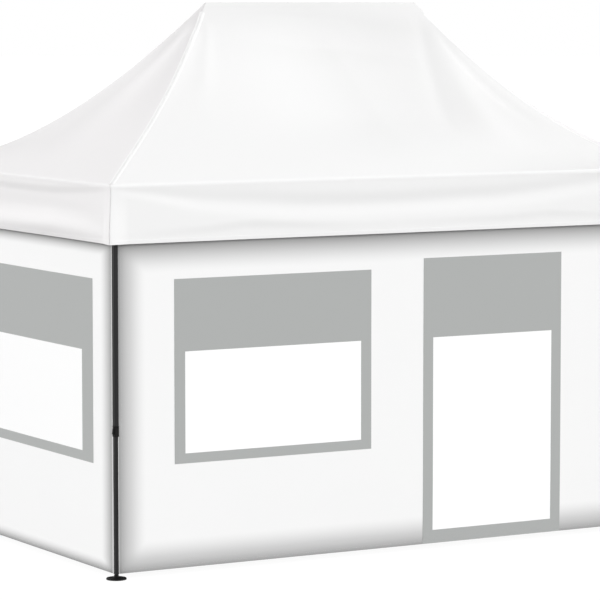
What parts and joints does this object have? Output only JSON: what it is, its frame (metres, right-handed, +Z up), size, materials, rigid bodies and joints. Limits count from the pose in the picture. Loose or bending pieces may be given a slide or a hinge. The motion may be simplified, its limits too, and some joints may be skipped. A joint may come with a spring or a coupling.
{
  "type": "pop-up gazebo tent",
  "caption": "White fabric gazebo tent with a hipped roof, valance and side walls with windows and a zipped door, on a black folding frame with telescopic legs.",
  "frame": {"origin": "on the ground below the middle of the tent", "axes": "+X to the right along the long front wall, +Y from the front wall to the back wall, +Z up"},
  "size_m": [4.561, 3.061, 3.4999],
  "materials": {
    "roof_cloth": "white coated polyester, matt",
    "wall_cloth": "white coated polyester, matt",
    "grey_cloth": "light grey coated polyester, matt",
    "clear_film": "milky window film",
    "black_steel": "charcoal black powder coat, satin",
    "black_plastic": "black moulded plastic"
  },
  "bodies": {
    "root": {"front_roof_panel": "roof_cloth", "back_roof_panel": "roof_cloth", "left_roof_panel": "roof_cloth", "right_roof_panel": "roof_cloth", "front_valance": "roof_cloth", "front_wall": "wall_cloth", "front_truss": "black_steel", "back_valance": "roof_cloth", "back_wall": "wall_cloth", "back_truss": "black_steel", "left_valance": "roof_cloth", "left_wall": "wall_cloth", "left_truss": "black_steel", "right_valance": "roof_cloth", "right_wall": "wall_cloth", "right_truss": "black_steel", "front_window_surround": "grey_cloth", "front_window_pane": "clear_film", "left_window_surround": "grey_cloth", "left_window_pane": "clear_film", "right_window_surround": "grey_cloth", "right_window_pane": "clear_film", "back_left_window_surround": "grey_cloth", "back_left_window_pane": "clear_film", "back_right_window_surround": "grey_cloth", "back_right_window_pane": "clear_film", "door_leaf": "grey_cloth", "door_pane": "clear_film", "left_peak_truss": "black_steel", "right_peak_truss": "black_steel", "centre_truss": "black_steel", "front_left_outer_leg": "black_steel", "front_left_adjuster": "black_plastic", "front_right_outer_leg": "black_steel", "front_right_adjuster": "black_plastic", "back_left_outer_leg": "black_steel", "back_left_adjuster": "black_plastic", "back_right_outer_leg": "black_steel", "back_right_adjuster": "black_plastic"},
    "front_left_lower_leg": {"front_left_inner_leg": "black_steel", "front_left_foot": "black_plastic"},
    "front_right_lower_leg": {"front_right_inner_leg": "black_steel", "front_right_foot": "black_plastic"},
    "back_left_lower_leg": {"back_left_inner_leg": "black_steel", "back_left_foot": "black_plastic"},
    "back_right_lower_leg": {"back_right_inner_leg": "black_steel", "back_right_foot": "black_plastic"}
  },
  "joints": [
    {"name": "front_left_leg_slide", "type": "slide", "parent": "root", "child": "front_left_lower_leg", "axis": [0, 0, -1], "range_m": [0, 0.2]},
    {"name": "front_right_leg_slide", "type": "slide", "parent": "root", "child": "front_right_lower_leg", "axis": [0, 0, -1], "range_m": [0, 0.2]},
    {"name": "back_left_leg_slide", "type": "slide", "parent": "root", "child": "back_left_lower_leg", "axis": [0, 0, -1], "range_m": [0, 0.2]},
    {"name": "back_right_leg_slide", "type": "slide", "parent": "root", "child": "back_right_lower_leg", "axis": [0, 0, -1], "range_m": [0, 0.2]}
  ]
}
